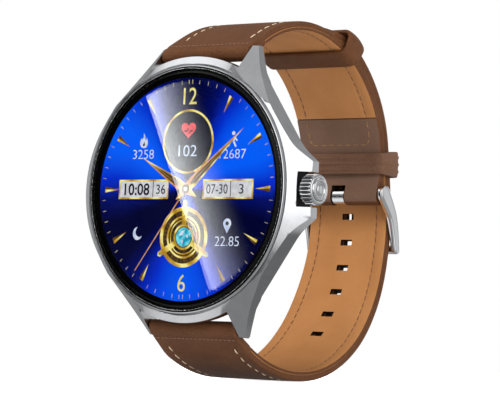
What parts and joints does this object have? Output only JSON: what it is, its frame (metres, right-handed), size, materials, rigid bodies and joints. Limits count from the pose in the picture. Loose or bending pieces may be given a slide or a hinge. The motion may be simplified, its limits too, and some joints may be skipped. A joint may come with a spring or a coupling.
{
  "type": "round smartwatch",
  "caption": "Round smartwatch with a pushable, turning crown at 3 o'clock, quick-release strap bars and a two-piece leather strap closed by a pin buckle and keepers.",
  "frame": {"origin": "centre of the flat round window on the case back, the face that rests on the wrist", "axes": "+X towards 3 o'clock and the crown, +Y out of the case back towards the wrist, +Z towards 12 o'clock; the dial looks along -Y"},
  "size_m": [0.0517, 0.0548, 0.066],
  "materials": {
    "case_steel": "satin brushed with polished edges",
    "polished_steel": "polished",
    "plain_steel": "machined",
    "cover_glass": "clear hard glass",
    "black_print": "black printed border",
    "clear_adhesive": "clear optical adhesive",
    "display": "lit blue picture",
    "flex": "amber polyimide film",
    "chassis_plastic": "moulded frame",
    "circuit_board": "green solder mask",
    "chip_black": "moulded chip packages",
    "battery_foil": "foil pouch",
    "motor_steel": "drawn can",
    "weight_metal": "sintered tungsten",
    "speaker_black": "moulded module",
    "mic_can": "tinned can",
    "led_white": "green sensor lamps",
    "diode_dark": "dark silicon",
    "lens_dark": "smoked sensor window",
    "gold_contact": "gold plated",
    "magnet_nickel": "nickel plated",
    "back_polymer": "fine grained black polymer",
    "gasket_rubber": "silicone",
    "seal_rubber": "black rubber",
    "plunger_plastic": "acetal",
    "leather_brown": "brown full grain, cream stitching",
    "lining_tan": "tan lining"
  },
  "bodies": {
    "watch": {"mid_case": "case_steel", "bezel_ring": "polished_steel", "cover_glass": "cover_glass", "border_mask": "black_print", "display_adhesive": "clear_adhesive", "display_panel": "display", "display_flex": "flex", "chassis": "chassis_plastic", "main_board": "circuit_board", "board_chips": "chip_black", "battery": "battery_foil", "motor_case": "motor_steel", "speaker_module": "speaker_black", "microphone": "mic_can", "sensor_board": "circuit_board", "sensor_leds": "led_white", "photodiodes": "diode_dark", "sensor_lens": "lens_dark", "charging_contacts": "gold_contact", "charging_magnets": "magnet_nickel", "back_case": "back_polymer", "back_cover": "back_polymer", "back_gasket": "gasket_rubber", "back_screws": "plain_steel", "crown_tube": "plain_steel", "crown_switch": "speaker_black", "upper_strap_leather": "leather_brown", "upper_strap_lining": "lining_tan", "upper_bar_tube": "plain_steel", "lower_strap_leather": "leather_brown", "lower_strap_lining": "lining_tan", "lower_bar_tube": "plain_steel", "fixed_keeper": "leather_brown"},
    "crown_turner": {"crown_knob": "polished_steel", "crown_cap": "polished_steel", "crown_stem": "plain_steel", "crown_seal": "seal_rubber", "stem_clip": "plain_steel"},
    "crown_slider": {"switch_plunger": "plunger_plastic"},
    "buckle": {"buckle_frame": "polished_steel", "buckle_bar": "plain_steel"},
    "tang": {"buckle_tang": "polished_steel"},
    "loose_keeper": {"free_keeper": "leather_brown"},
    "upper_pin": {"upper_release_pin": "plain_steel"},
    "lower_pin": {"lower_release_pin": "plain_steel"},
    "motor_weight": {"motor_rotor": "weight_metal"}
  },
  "joints": [
    {"name": "crown_press", "type": "slide", "parent": "watch", "child": "crown_slider", "axis": [-1, 0, 0], "range_m": [0, 0.00045], "stiffness_N_per_m": 900},
    {"name": "crown_turn", "type": "hinge", "parent": "crown_slider", "child": "crown_turner", "pos_m": [0.025, -0.0081, 0], "axis": [1, 0, 0], "continuous": true},
    {"name": "buckle_swing", "type": "hinge", "parent": "watch", "child": "buckle", "pos_m": [0, 0.037, 0.0024], "axis": [1, 0, 0], "range_deg": [0, 2]},
    {"name": "tang_swing", "type": "hinge", "parent": "buckle", "child": "tang", "pos_m": [0, 0.037, 0.0024], "axis": [1, 0, 0], "range_deg": [0, 2]},
    {"name": "keeper_slide", "type": "hinge", "parent": "watch", "child": "loose_keeper", "pos_m": [0, 0.01172, 0.0057], "axis": [1, 0, 0], "range_deg": [-18, 4]},
    {"name": "upper_bar_release", "type": "slide", "parent": "watch", "child": "upper_pin", "axis": [-1, 0, 0], "range_m": [0, 0.0015], "stiffness_N_per_m": 600},
    {"name": "lower_bar_release", "type": "slide", "parent": "watch", "child": "lower_pin", "axis": [1, 0, 0], "range_m": [0, 0.0015], "stiffness_N_per_m": 600},
    {"name": "motor_spin", "type": "hinge", "parent": "watch", "child": "motor_weight", "pos_m": [0.0108, -0.0053, -0.01], "axis": [0, 0, 1], "continuous": true}
  ]
}
